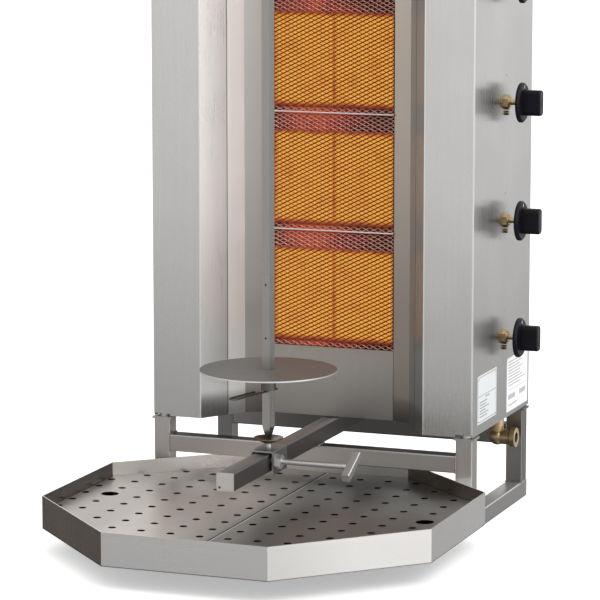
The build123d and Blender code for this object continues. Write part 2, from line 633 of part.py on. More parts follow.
def switch():
    frame = switch_block(11, 15, -1.6, 0) + switch_block(9.5, 13.5, 0, 20)
    save("switch_frame", frame - switch_block(7.5, 11.5, -5, 12))
    side = [(8.5, 8), (-2.4, 10.4), (-0.4, 0), (-2.4, -10.4), (8.5, -8)]
    outline = [(0, depth - SWITCH_PIVOT, rise) for depth, rise in side]
    rocker = Rot(-SWITCH_TILT, 0, 0) * extrude(make_face(Polyline(*outline, close=True)), 7, both=True)
    save("switch_rocker", Pos(SWITCH_X, DRIVE_FRONT + SWITCH_PIVOT, SWITCH_Z) * rocker)


def drive():
    """Gearmotor on the base plate, and the socket that turns the spit."""
    box_top = DRIVE_FLOOR + 44
    motor = block(-34, 34, SPIT_Y - 38, SPIT_Y + 38, DRIVE_FLOOR, box_top)
    motor = fillet(motor.edges().filter_by(Axis.Z), 6)
    motor += rod_z(0, SPIT_Y, box_top, DRIVE_TOP - 12, 30)
    motor += rod_z(0, SPIT_Y, DRIVE_TOP - 12, DRIVE_TOP - 6, 12)
    motor -= rod_z(0, SPIT_Y, DRIVE_FLOOR - 1, DRIVE_FLOOR + 20, SHAFT_RADIUS + SHAFT_GAP)
    save("gearmotor", motor)

    socket = rod_z(0, 0, SOCKET_BOTTOM, SOCKET_TOP, SOCKET_RADIUS)
    socket += rod_z(0, 0, SOCKET_TOP, DRIVE_FLOOR + 18, SHAFT_RADIUS)
    square = SPIT_SIDE / 2 + RUNNING_GAP
    socket -= block(-square, square, -square, square, SOCKET_BOTTOM - 1, SPIT_TOP + 3)
    save("drive_socket", on_spit(socket))


os.makedirs("parts", exist_ok=True)
rails_and_legs()
end_caps()
housing_fixings()
tray_pads()
drip_tray()
housing_panels()
front_sheets()
burners()
mixer_tubes()
gas_line()
valves()
knobs()
rating_plate()
spit()
spit_pin()
carriage()
upper_guide()
motor_arm()
motor_cover()
switch()
drive()
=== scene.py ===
"""Looks of the vertical rotisserie broiler: materials, fine pieces, light and camera."""

import math
import random

import bmesh
import bpy
from mathutils import Matrix, Vector


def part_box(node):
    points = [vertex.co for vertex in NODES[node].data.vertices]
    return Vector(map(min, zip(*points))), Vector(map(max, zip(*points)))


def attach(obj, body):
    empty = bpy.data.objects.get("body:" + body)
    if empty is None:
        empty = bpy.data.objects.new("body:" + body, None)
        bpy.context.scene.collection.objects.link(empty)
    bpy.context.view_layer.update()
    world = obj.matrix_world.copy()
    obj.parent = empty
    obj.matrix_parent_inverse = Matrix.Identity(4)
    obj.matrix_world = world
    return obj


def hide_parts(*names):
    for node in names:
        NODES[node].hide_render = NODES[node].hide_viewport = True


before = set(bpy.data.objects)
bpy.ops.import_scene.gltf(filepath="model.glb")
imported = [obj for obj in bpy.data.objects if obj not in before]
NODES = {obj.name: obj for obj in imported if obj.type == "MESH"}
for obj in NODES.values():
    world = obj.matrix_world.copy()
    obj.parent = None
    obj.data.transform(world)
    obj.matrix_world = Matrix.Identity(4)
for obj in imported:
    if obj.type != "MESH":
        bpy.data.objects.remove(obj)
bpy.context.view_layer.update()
RNG = random.Random(7)
MM = 0.001
BURNERS = 4
PLAQUE_HEIGHT = 138.8 * MM      # each burner's ceramic plates
TUBE = 25 * MM                  # side of the square frame tube
MESH_COLUMNS = 32               # half diamonds across one guard
HALF_DIAMOND = 3 * MM           # and how high each of them is
FOLD_ANGLE = 38                 # degrees; edges sharper than this are rounded
STEEL = (0.76, 0.75, 0.735)
CENTRE_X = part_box("housing_back")[0].lerp(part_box("housing_back")[1], 0.5).x

# distances of the upright folds and joints from the machine's middle plane
CORNER = 244.2 * MM
WING_FOLD = 170.5 * MM
JOINT = 144.3 * MM
REFLECTOR_FOLD = 127.6 * MM


# ---------------------------------------------------------------- node graphs
class Graph:
    """Short calls for building one node tree."""

    def __init__(self, tree):
        self.tree = tree
        tree.nodes.clear()

    def node(self, kind, inputs=None, **settings):
        """A node with its settings, and inputs that are either values or other nodes' outputs."""
        made = self.tree.nodes.new(kind)
        for name, value in settings.items():
            setattr(made, name, value)
        for name, value in (inputs or {}).items():
            if isinstance(value, bpy.types.NodeSocket):
                self.tree.links.new(value, made.inputs[name])
            else:
                made.inputs[name].default_value = value
        return made

    def math(self, operation, first, second=0.0):
        """Arithmetic on two numbers."""
        inputs = {0: first, 1: second}
        return self.node("ShaderNodeMath", inputs, operation=operation).outputs[0]

    def between(self, operation, first, second, result="Value"):
        """Vector arithmetic on two points or directions."""
        made = self.node("ShaderNodeVectorMath", {0: first, 1: second}, operation=operation)
        return made.outputs[result]

    def remap(self, value, low, high, to_low, to_high):
        """The value's range from low to high becomes to_low to to_high, and stops there."""
        names = ("Value", "From Min", "From Max", "To Min", "To Max")
        inputs = dict(zip(names, (value, low, high, to_low, to_high)))
        return self.node("ShaderNodeMapRange", inputs).outputs["Result"]

    def blend(self, share, first, second, kind="MIX"):
        """First where the share is 0, second where it is 1."""
        mix = self.node("ShaderNodeMix", data_type="RGBA", blend_type=kind)
        sockets = (mix.inputs[0], mix.inputs[6], mix.inputs[7])     # factor, colour A, colour B
        for socket, value in zip(sockets, (share, first, second)):
            if isinstance(value, bpy.types.NodeSocket):
                self.tree.links.new(value, socket)
            else:
                socket.default_value = value
        return mix.outputs[2]

    def ramp(self, value, stops):
        """Colours or grey levels along a value from 0 to 1."""
        made = self.node("ShaderNodeValToRGB", {"Fac": value})
        elements = made.color_ramp.elements
        while len(elements) < len(stops):
            elements.new(0.5)
        for element, (place, colour) in zip(elements, stops):
            element.position = place
            element.color = rgba(colour)
        return made.outputs["Color"]

    def place(self, scale=(1, 1, 1)):
        """The point in the row frame, stretched."""
        where = self.node("ShaderNodeTexCoord").outputs["Object"]
        return self.node("ShaderNodeMapping", {"Vector": where, "Scale": scale}).outputs["Vector"]

    def axis(self, name):
        """One coordinate of the point in the row frame."""
        return self.node("ShaderNodeSeparateXYZ", {"Vector": self.place()}).outputs[name]

    def from_centre(self):
        """Distance from the machine's middle plane."""
        return self.math("ABSOLUTE", self.math("SUBTRACT", self.axis("X"), CENTRE_X))

    def facing(self, name):
        """One component of the surface's own direction."""
        normal = self.node("ShaderNodeNewGeometry").outputs["Normal"]
        return self.node("ShaderNodeSeparateXYZ", {"Vector": normal}).outputs[name]

    def line(self, value, centre, half_width):
        """1 on a narrow line where the value meets the centre, 0 beside it."""
        gap = self.math("ABSOLUTE", self.math("SUBTRACT", value, centre))
        return self.remap(gap, half_width * 0.6, half_width, 1, 0)

    def shade(self, base, factor):
        """The colour times a grey factor that changes over the surface."""
        return self.blend(1.0, base, factor, kind="MULTIPLY")

    def noise(self, vector, scale, detail=3.0, roughness=0.5):
        """Random cloud of values around 0.5."""
        inputs = {"Vector": vector, "Scale": scale, "Detail": detail, "Roughness": roughness}
        return self.node("ShaderNodeTexNoise", inputs).outputs["Fac"]


def rgba(colour):
    """A colour or a grey level with full cover."""
    if isinstance(colour, (int, float)):
        return (colour, colour, colour, 1)
    return (*colour, 1)


def lighter(colour, factor):
    """The colour times a factor, kept within what a surface can reflect."""
    return tuple(min(1.0, channel * factor) for channel in colour)


def principled(name, metallic=0.0, **constants):
    """A material with a Principled shader, and the graph to feed it."""
    material = bpy.data.materials.new(name)
    material.use_nodes = True
    graph = Graph(material.node_tree)
    shader = graph.node("ShaderNodeBsdfPrincipled", {"Metallic": metallic})
    for socket, value in constants.items():
        shader.inputs[socket.replace("_", " ")].default_value = value
    graph.node("ShaderNodeOutputMaterial", {"Surface": shader.outputs["BSDF"]})
    return material, graph, shader


def connect(graph, shader, **values):
    """Links node outputs to the shader's sockets of the same name."""
    for socket, value in values.items():
        graph.tree.links.new(value, shader.inputs[socket.replace("_", " ")])


# ---------------------------------------------------------------- materials
def brushed(name, colour, along, roughness=0.3, anisotropic=0.55, streaks=0.035, bump=0.07,
            spread=0.05, finish=None, metallic=1.0, bare=None):
    """Brushed steel with its grain along X, Y or Z.

    The roughness varies by the spread. A finish changes the colour from place to place; bare gives
    the share of clean metal on the surface. Faces that look to +X are darker, because the studio
    is brightest on that side.
    """
    material, graph, shader = principled(name, metallic=metallic, Anisotropic=anisotropic)
    fine = [14 if axis in along else 900 for axis in "xyz"]
    broad = [3 if axis in along else 160 for axis in "xyz"]
    grain = graph.noise(graph.place(fine), 1.0, 4.0, 0.6)
    bands = graph.noise(graph.place(broad), 1.0, 2.0)
    clouds = graph.noise(graph.place(), 7.0, 3.0)
    darker_streak, lighter_streak = lighter(colour, 1 - streaks), lighter(colour, 1 + streaks)
    base = graph.blend(grain, rgba(darker_streak), rgba(lighter_streak))
    base = graph.blend(graph.remap(bands, 0.3, 0.7, 0, 1), base, rgba(lighter(colour, 1.03)))
    base = graph.blend(graph.remap(clouds, 0.35, 0.75, 0, 0.2), base, rgba(lighter(colour, 0.82)))
    if finish:
        base = finish(graph, base)
    if bare:
        connect(graph, shader, Metallic=bare(graph))
    base = graph.shade(base, graph.remap(graph.facing("X"), 0.8, 0.96, 1.0, 0.6))
    rough = graph.math("ADD", graph.remap(grain, 0.2, 0.8, roughness - spread, roughness + spread),
                       graph.remap(clouds, 0.3, 0.7, -0.03, 0.04))
    relief = graph.node("ShaderNodeBump", {"Height": grain, "Strength": bump, "Distance": 0.1 * MM})
    tangent = graph.node("ShaderNodeTangent", direction_type="RADIAL", axis="Z")
    connect(graph, shader, Base_Color=base, Roughness=rough, Normal=relief.outputs["Normal"],
            Tangent=tangent.outputs["Tangent"])
    return material


def undirected(name, colour, along, roughness, **settings):
    """Turned, drawn or plated steel, which reflects alike in all directions."""
    return brushed(name, colour, along, roughness, anisotropic=0.0, **settings)


def painted_foot_shade(graph, base):
    """Housing sheets: a painted shade that deepens towards the floor."""
    return graph.shade(base, graph.remap(graph.axis("Z"), 0.14, 0.45, 0.74, 1.0))


# painted reflection of the dark tray: grey levels by height that darken the lowest part of the
# front sheets and reflectors
LOW_TRAY_REFLECTION = [(0.139, 0.42), (0.166, 0.5), (0.178, 0.83), (0.3, 0.85), (0.5, 1.0)]


def folded_front(graph, base):
    """Front sheets: painted shade, highlights and tray reflection, and a dark joint with the
    reflector.
    """
    base = painted_foot_shade(graph, base)
    across = graph.from_centre()
    between = graph.math("LESS_THAN", across, WING_FOLD)
    # painted highlight: the left wing gets a lighter copy of the steel; painted shade: the right
    # wing's inner strip is dark grey
    polished = graph.shade(base, rgba(1.3))
    right = graph.math("GREATER_THAN", graph.axis("X"), CENTRE_X)
    polished = graph.blend(right, polished, rgba((0.26, 0.262, 0.258)))
    # painted reflection of the dark tray low on the wings
    wing_tray_reflection = graph.shade(polished, graph.ramp(graph.axis("Z"), LOW_TRAY_REFLECTION))
    base = graph.blend(between, base, wing_tray_reflection)
    # painted highlights along the wing folds and the right front corner
    wing_fold = graph.line(across, WING_FOLD + 0.7 * MM, 1.1 * MM)
    corner = graph.line(graph.axis("X"), CENTRE_X + CORNER, 2.0 * MM)
    worn = graph.math("MAXIMUM", graph.math("MULTIPLY", wing_fold, 0.85), corner)
    base = graph.blend(worn, base, rgba(1.0))
    base = graph.shade(base, graph.remap(graph.line(across, JOINT, 0.8 * MM), 0, 1, 1.0, 0.4))
    open_joint = graph.line(graph.axis("X"), CENTRE_X + JOINT + 0.1 * MM, 1.7 * MM)
    return graph.shade(base, graph.remap(open_joint, 0, 1, 1.0, 0.25))


def greased_wing(graph):
    """Share of bare metal on the front sheets: fat films the right wing's inner strip."""
    inner = graph.math("LESS_THAN", graph.axis("X"), CENTRE_X + WING_FOLD)
    right = graph.math("GREATER_THAN", graph.axis("X"), CENTRE_X)
    return graph.remap(graph.math("MULTIPLY", inner, right), 0, 1, 1.0, 0.3)


def reflector_heat_and_light(graph, base):
    """Reflectors: browned by the burners, a painted highlight left, painted shade right."""
    across = graph.from_centre()
    height = graph.axis("Z")
    right = graph.math("GREATER_THAN", graph.axis("X"), CENTRE_X)
    nearness = graph.remap(across, 127 * MM, 98 * MM, 0, 1)
    grey = graph.blend(nearness, rgba((0.55, 0.53, 0.51)), rgba((0.5, 0.45, 0.4)))
    inner_tone = graph.blend(right, grey, rgba((0.7, 0.635, 0.56)))
    # the inner part is darker towards the bottom and brighter at the top
    inner_tone = graph.shade(inner_tone, graph.remap(height, 0.15, 0.85, 0.78, 1.1))
    # painted highlight: the left outer strip gets a lighter copy of the steel; painted shade: the
    # right one is dark grey
    outer_light_and_shade = graph.blend(right, graph.shade(base, rgba(1.3)), rgba((0.27, 0.265, 0.25)))
    inner = graph.remap(across, REFLECTOR_FOLD - 0.3 * MM, REFLECTOR_FOLD + 0.3 * MM, 1, 0)
    base = graph.blend(inner, outer_light_and_shade, inner_tone)
    # painted reflection of the dark tray low on the reflectors
    return graph.shade(base, graph.ramp(height, LOW_TRAY_REFLECTION))


def matt_edge(graph):
    """Share of bare metal on the reflectors: matt beside the left wing, greasy beside the right."""
    left = graph.math("LESS_THAN", graph.axis("X"), CENTRE_X - REFLECTOR_FOLD)
    right = graph.math("GREATER_THAN", graph.axis("X"), CENTRE_X + REFLECTOR_FOLD)
    matt = graph.math("MULTIPLY", left, 0.22)
    film = graph.math("MULTIPLY", right, 0.7)
    return graph.math("SUBTRACT", 1.0, graph.math("ADD", matt, film))


def warmed_and_shaded_apron(graph, base):
    """Sheets above and below the burners: browned by their heat, with a painted shade low down."""
    height = graph.axis("Z")
    low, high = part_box("mesh_guards")
    below = graph.math("SUBTRACT", low.z, height)
    above = graph.math("SUBTRACT", height, high.z)
    nearness = graph.remap(graph.math("MAXIMUM", below, above), 0, 30 * MM, 0.85, 0)
    base = graph.blend(nearness, base, rgba((0.45, 0.39, 0.34)))
    # painted shade, darker towards the floor
    return graph.shade(base, graph.remap(height, 0.14, 0.23, 0.7, 1.0))


def rail_tops_and_rear_shade(graph, base):
    """Cross rails: near-black upper faces, and painted shade on the rear one, most on the right."""
    upward = graph.remap(graph.facing("Z"), 0.8, 0.95, 0, 0.85)
    base = graph.blend(upward, base, rgba((0.035, 0.025, 0.02)))
    # painted shade: the rear rail lies in shadow under the housing
    rear = graph.remap(graph.axis("X"), -0.2, -0.06, 0.62, 0.32)
    share = graph.remap(graph.axis("Y"), 0.16, 0.3, 0, 1)
    return graph.blend(share, base, graph.shade(base, rear))


def beam_side_shade(graph, base):
    """Beam: painted shade on its sides, which are darker than its top."""
    sideways = graph.math("ABSOLUTE", graph.facing("X"))
    return graph.shade(base, graph.remap(sideways, 0.6, 0.95, 1.0, 0.5))


def shaded_tubes(graph, base):
    """Uprights: darker to the rear, under the housing."""
    return graph.shade(base, graph.remap(graph.axis("Y"), 0.16, 0.3, 1.0, 0.45))


def plate_light_and_shade(graph, base):
    """Perforated plates in painted light: bright left with darker bands, dark right, a bright fold.
    """
    low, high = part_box("drip_tray")
    share = graph.remap(graph.axis("X"), low.x, high.x, 0, 1)
    seam = (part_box("tray_insert_left")[1].x - low.x) / (high.x - low.x)
    # painted light and shade across the plates: the left one lit, with darker bands, the right one
    # in shade
    left = [(0.0, 0.95), (0.08, 0.92), (0.14, 0.8), (0.2, 0.84), (0.24, 1.0), (0.3, 1.0),
            (0.39, 1.0), (0.43, 0.88), (seam - 0.02, 0.76)]
    stops = [(position, (level, level * 0.965, level * 0.92)) for position, level in left]
    right = [(seam + 0.002, 0.5), (0.6, 0.47), (1.0, 0.43)]
    stops += [(position, (level, level, level)) for position, level in right]
    base = graph.shade(base, graph.ramp(share, stops))
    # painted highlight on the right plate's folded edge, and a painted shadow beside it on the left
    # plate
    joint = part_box("tray_insert_right")[0].x
    base = graph.blend(graph.line(graph.axis("X"), joint + 1.0 * MM, 1.1 * MM), base, rgba(0.95))
    shadow = graph.line(graph.axis("X"), joint - 2.2 * MM, 1.4 * MM)
    base = graph.shade(base, graph.remap(shadow, 0, 1, 1, 0.3))
    # painted shade on the hole walls and the plates' undersides
    return graph.shade(base, graph.remap(graph.facing("Z"), 0.1, 0.5, 0.12, 1.0))


def tray_shade_and_hem(graph, base):
    """Drip tray: painted shade and reflection on the walls and under the plates; a dark hem."""
    low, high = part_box("drip_tray")
    outward = graph.between("SUBTRACT", graph.place(), tuple((low + high) / 2), "Vector")
    normal = graph.node("ShaderNodeNewGeometry").outputs["Normal"]
    inner = graph.math("LESS_THAN", graph.between("DOT_PRODUCT", outward, normal), 0.0)
    turned = graph.remap(graph.facing("X"), -1, 1, 0, 1)
    # painted shade on the inner walls, by the way they face
    dull = [(0.0, 0.35), (0.3, 0.36), (0.5, 0.62), (0.84, 0.6), (0.93, 0.34), (1.0, 0.34)]
    base = graph.blend(inner, base, graph.shade(base, graph.ramp(turned, dull)))
    # painted shade on the outer right-front wall
    right_front = graph.line(graph.facing("X"), 0.77, 0.12)
    forward = graph.math("LESS_THAN", graph.facing("Y"), 0.0)
    along = graph.remap(graph.axis("X"), 0.11, 0.2, 0.68, 0.8)
    share = graph.math("MULTIPLY", right_front, forward)
    right_front_shade = graph.blend(share, base, graph.shade(base, along))
    base = graph.blend(inner, right_front_shade, base)
    # painted brownish reflection on faces that look to the left
    leftward_reflection = graph.remap(graph.facing("X"), -0.55, -0.68, 0, 1)
    base = graph.blend(leftward_reflection, base, graph.shade(base, rgba((1.0, 0.88, 0.77))))
    hem = graph.math("LESS_THAN", graph.axis("Z"), low.z + 1.3 * MM)
    base = graph.shade(base, graph.remap(hem, 0, 1, 1.0, 0.35))
    # painted shade: the tray's floor under the plates is near-black
    upward = graph.math("GREATER_THAN", graph.facing("Z"), 0.9)
    floor = graph.math("MULTIPLY", upward, graph.math("LESS_THAN", graph.axis("Z"), low.z + 3 * MM))
    return graph.blend(floor, base, rgba((0.02, 0.015, 0.012)))


def capped_ends(graph, base):
    """Ground tube ends with a dark weld pit at the lower left of the beam's front cap."""
    low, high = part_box("carriage_beam")
    pit = Vector(((low.x + high.x) / 2 - 8 * MM, low.y - 2 * MM, low.z + 5 * MM))
    gap = graph.between("DISTANCE", graph.place(), tuple(pit))
    return graph.shade(base, graph.remap(gap, 1.2 * MM, 2.2 * MM, 0.12, 1.0))


def bright_nut(graph, base):
    """Zinc-plated saddle whose nut is brighter than its folded sheet."""
    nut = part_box("saddle")[1].x - 8.6 * MM
    levels = graph.remap(graph.axis("X"), nut - 0.2 * MM, nut + 0.2 * MM, 0.62, 1.6)
    return graph.shade(base, levels)


def disc_rim_highlight(graph, base):
    """Disc: dull faces and a painted highlight on its cut edge."""
    low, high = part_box("spit_disc")
    centre = (low.x + high.x) / 2, (low.y + high.y) / 2, high.z
    gap = graph.between("DISTANCE", graph.place(), centre)
    outer = graph.math("GREATER_THAN", gap, (high.x - low.x) / 2 - 2 * MM)
    edge = graph.remap(graph.facing("Z"), 0.1, 0.5, 1, 0)
    return graph.blend(graph.math("MULTIPLY", outer, edge), base, rgba(0.6))


def smoked_cup(graph, base):
    """Spit cup: bright foot, and a bowl that has turned brown."""
    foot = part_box("spit_cup")[0].z
    levels = graph.remap(graph.axis("Z"), foot + 9.5 * MM, foot + 11 * MM, 1.0, 0.3)
    return graph.shade(base, levels)


def cast_brass(name, colour):
    """Brass with the fine pits of a casting, darker patches and a dark gap behind the union."""
    material, graph, shader = principled(name, metallic=1.0)
    pits = graph.noise(graph.place(), 900.0, 5.0, 0.7)
    patches = graph.noise(graph.place(), 55.0, 3.0)
    patchy = graph.remap(patches, 0.35, 0.65, 0, 0.6)
    base = graph.blend(patchy, rgba(colour), rgba(lighter(colour, 0.5)))
    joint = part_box("inlet_union")[0].x
    gap = graph.line(graph.axis("X"), joint - 0.8 * MM, 1.4 * MM)
    base = graph.shade(base, graph.remap(gap, 0, 1, 1.0, 0.12))
    bump = graph.node("ShaderNodeBump", {"Height": pits, "Strength": 0.35, "Distance": 0.25 * MM})
    connect(graph, shader, Base_Color=base, Roughness=graph.remap(pits, 0.3, 0.7, 0.24, 0.42),
            Normal=bump.outputs["Normal"])
    return material


def moulded_plastic(name, colour, roughness=0.42, **constants):
    """Plastic with a fine moulded grain, slightly polished by hands."""
    material, graph, shader = principled(name, **constants)
    grain = graph.noise(graph.place(), 2200.0, 3.0)
    wear = graph.noise(graph.place(), 90.0, 2.0)
    base = graph.blend(wear, rgba(lighter(colour, 0.8)), rgba(lighter(colour, 1.25)))
    bump = graph.node("ShaderNodeBump", {"Height": grain, "Strength": 0.25, "Distance": 0.08 * MM})
    connect(graph, shader, Base_Color=base, Normal=bump.outputs["Normal"],
            Roughness=graph.remap(wear, 0.35, 0.65, roughness - 0.08, roughness + 0.08))
    return material


def painted(name, colour, roughness=0.4):
    """Enamel with orange peel and a few worn patches."""
    material, graph, shader = principled(name, Coat_Weight=0.3, Coat_Roughness=0.15)
    peel = graph.noise(graph.place(), 420.0, 2.0)
    patches = graph.noise(graph.place(), 40.0, 4.0)
    worn = graph.remap(patches, 0.55, 0.8, 0, 0.6)
    base = graph.blend(worn, rgba(colour), rgba(lighter(colour, 0.6)))
    bump = graph.node("ShaderNodeBump", {"Height": peel, "Strength": 0.15, "Distance": 0.15 * MM})
    connect(graph, shader, Base_Color=base, Normal=bump.outputs["Normal"],
            Roughness=graph.remap(patches, 0.3, 0.7, roughness, roughness + 0.15))
    return material


def beyond_plates(graph):
    """Distance above or below the nearest row of ceramic plates, negative inside the row."""
    low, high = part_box("ceramic_plaques")
    pitch = (high.z - low.z - PLAQUE_HEIGHT) / (BURNERS - 1)
    above = graph.math("SUBTRACT", graph.axis("Z"), low.z + PLAQUE_HEIGHT / 2)
    level = graph.math("PINGPONG", above, pitch / 2)
    return graph.math("SUBTRACT", level, PLAQUE_HEIGHT / 2)


def glowing_ceramic():
    """Perforated ceramic: amber glow, redder at each plate's border, with tiny dark holes."""
    material, graph, shader = principled("glowing_ceramic", Roughness=0.85, Specular_IOR_Level=0.1)
    low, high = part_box("ceramic_plaques")
    middle = (low.x + high.x) / 2
    across = graph.math("ABSOLUTE", graph.math("SUBTRACT", graph.axis("X"), middle))
    half = (high.x - low.x) / 2
    at_side = graph.remap(across, half - 7 * MM, half, 0, 1)
    at_seam = graph.remap(across, 0.8 * MM, 3.5 * MM, 0.5, 0)
    at_end = graph.remap(beyond_plates(graph), -9 * MM, 0, 0, 1)
    edge = graph.math("MAXIMUM", graph.math("MAXIMUM", at_side, at_seam), at_end)
    mottle = graph.noise(graph.place(), 45.0, 3.0)
    edge = graph.math("ADD", edge, graph.remap(mottle, 0.45, 0.8, 0, 0.35))
    glow = graph.ramp(edge, [(0.0, (0.98, 0.42, 0.045)), (0.3, (0.84, 0.3, 0.03)),
                             (0.65, (0.5, 0.09, 0.012)), (1.0, (0.22, 0.014, 0.006))])
    grid = {"Vector": graph.place((1, 0, 1)), "Scale": 560.0, "Randomness": 0.0}
    holes = graph.node("ShaderNodeTexVoronoi", grid)
    dots = graph.remap(holes.outputs["Distance"], 0.22, 0.34, 0.62, 1)
    bump = graph.node("ShaderNodeBump", {"Height": dots, "Strength": 0.6, "Distance": 0.5 * MM})
    emission = graph.blend(1.0, glow, dots, kind="MULTIPLY")
    clay = graph.blend(mottle, rgba((0.08, 0.03, 0.015)), rgba((0.13, 0.06, 0.03)))
    connect(graph, shader, Base_Color=clay, Emission_Color=emission, Normal=bump.outputs["Normal"])
    shader.inputs["Emission Strength"].default_value = 0.95
    return material


def scorched_steel():
    """Burner cases: dark steel that glows dull red between the plates, most near the middle."""
    material, graph, shader = principled("scorched_steel", metallic=0.8)
    low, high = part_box("burner_cases")
    flicker = graph.noise(graph.place((1, 1, 2)), 30.0, 3.0)
    wavering = graph.remap(flicker, 0.3, 0.7, -22 * MM, 22 * MM)
    share = graph.remap(graph.math("ADD", graph.axis("X"), wavering), low.x, high.x, 0, 1)
    glow = graph.ramp(share, [(0.0, (0.03, 0.003, 0.002)), (0.18, (0.17, 0.012, 0.006)),
                              (0.36, (0.38, 0.04, 0.006)), (0.56, (0.18, 0.006, 0.004)),
                              (0.8, (0.03, 0.001, 0.001)), (1.0, (0.006, 0, 0))])
    front = graph.remap(graph.axis("Y"), low.y + 5 * MM, low.y + 16 * MM, 1, 0)
    emission = graph.blend(1.0, glow, front, kind="MULTIPLY")
    scale = graph.noise(graph.place(), 120.0, 5.0, 0.6)
    base = graph.blend(scale, rgba((0.012, 0.006, 0.005)), rgba((0.045, 0.022, 0.018)))
    bump = graph.node("ShaderNodeBump", {"Height": scale, "Strength": 0.3, "Distance": 0.3 * MM})
    connect(graph, shader, Base_Color=base, Emission_Color=emission, Normal=bump.outputs["Normal"],
            Roughness=graph.remap(scale, 0.3, 0.7, 0.5, 0.75))
    shader.inputs["Emission Strength"].default_value = 1.0
    return material


def printed_plate(name, ground, ink, low, high, bars, metallic=0.0):
    """A blank label: a plain ground with grey bars where a real one is printed.

    Low and high are the label's corners; a bar is (start, end, bottom, top) in shares of its size.
    """
    material, graph, shader = principled(name, metallic=metallic)
    along = graph.remap(graph.axis("Y"), low.y, high.y, 0, 1)
    rise = graph.remap(graph.axis("Z"), low.z, high.z, 0, 1)
    inked = 0.0
    for start, end, bottom, top in bars:
        inside = 1.0
        for value, low_end, high_end in ((along, start, end), (rise, bottom, top)):
            inside = graph.math("MULTIPLY", graph.math("GREATER_THAN", value, low_end), inside)
            inside = graph.math("MULTIPLY", graph.math("LESS_THAN", value, high_end), inside)
        inked = graph.math("MAXIMUM", inside, inked)
    fibre = graph.noise(graph.place(), 600.0, 2.0)
    shade = graph.blend(fibre, rgba(lighter(ground, 0.94)), rgba(ground))
    base = graph.blend(graph.math("MULTIPLY", inked, 0.75), shade, rgba(ink))
    connect(graph, shader, Base_Color=base, Roughness=graph.remap(fibre, 0.3, 0.7, 0.32, 0.45))
    return material


# ---------------------------------------------------------------- finishing the CAD nodes
def dress(material, bevel, names):
    """Gives CAD nodes a material, and their edges a rounding (in mm) that catches the light."""
    for name in names:
        node = NODES[name]
        node.data.materials.clear()
        node.data.materials.append(material)
        if bevel:
            rounding = node.modifiers.new("edge_rounding", "BEVEL")
            rounding.width = bevel * MM
            rounding.segments = 2
            rounding.limit_method = "ANGLE"
            rounding.angle_limit = math.radians(FOLD_ANGLE)


def numbered(stem):
    """The names of the nodes that each valve has."""
    return [f"{stem}_{index}" for index in range(1, BURNERS + 1)]


def dress_housing():
    """Sheets of the housing, the reflectors and the aprons."""
    upright = brushed("brushed_upright", STEEL, "z", finish=painted_foot_shade)
    dress(upright, 0.5, ["housing_side_left", "housing_side_right", "housing_back", "motor_cover"])
    front = brushed("brushed_front", STEEL, "z", bump=0.04, finish=folded_front, bare=greased_wing)
    dress(front, 0.5, ["front_wing_left", "front_wing_right"])
    flat = brushed("brushed_flat", STEEL, "y")
    dress(flat, 0.4, ["housing_bottom", "housing_top"])
    sheet = lighter(STEEL, 1.02)
    reflector = brushed("heated_reflector_light_and_shade", sheet, "z", 0.34, finish=reflector_heat_and_light,
                        bare=matt_edge)
    dress(reflector, 0.4, ["reflector_left", "reflector_right"])
    apron = brushed("heated_and_shaded_apron", (0.46, 0.44, 0.42), "z", 0.38, finish=warmed_and_shaded_apron)
    dress(apron, 0.3, ["apron_bottom", "apron_top"])


def dress_frame_and_tray():
    """Square tubes, their caps, the drip tray and its perforated plates."""
    dull = (0.47, 0.45, 0.435)
    crosswise = brushed("tube_along_x", dull, "x", 0.36, finish=rail_tops_and_rear_shade)
    dress(crosswise, 0.6, ["cross_rails"])
    lengthwise = brushed("tube_along_y", dull, "y", 0.36)
    dress(lengthwise, 0.6, ["side_rails", "outrigger_rail", "motor_arm", "upper_guide"])
    beam = brushed("beam_tube", (0.31, 0.29, 0.28), "y", 0.5, finish=beam_side_shade)
    dress(beam, 0.6, ["carriage_beam"])
    caps = brushed("tube_ends", (0.8, 0.775, 0.75), "x", 0.36, finish=capped_ends)
    dress(caps, 0.6, ["tube_end_caps"])
    upright_tube = brushed("tube_upright", lighter(dull, 1.15), "z", 0.36, finish=shaded_tubes)
    dress(upright_tube, 0.6, ["legs", "leg_top_plates"])
    pale = (0.84, 0.82, 0.8)
    walls = brushed("tray_walls", pale, "xy", 0.27, anisotropic=0.2, streaks=0.015, bump=0.015,
                    spread=0.015, finish=tray_shade_and_hem)
    dress(walls, 0.5, ["drip_tray"])
    grey = (0.7, 0.675, 0.645)
    plate = brushed("tray_plates", grey, "x", 0.34, anisotropic=0.3, streaks=0.02, bump=0.04,
                    spread=0.03, finish=plate_light_and_shade)
    dress(plate, 0.35, ["tray_insert_left", "tray_insert_right"])


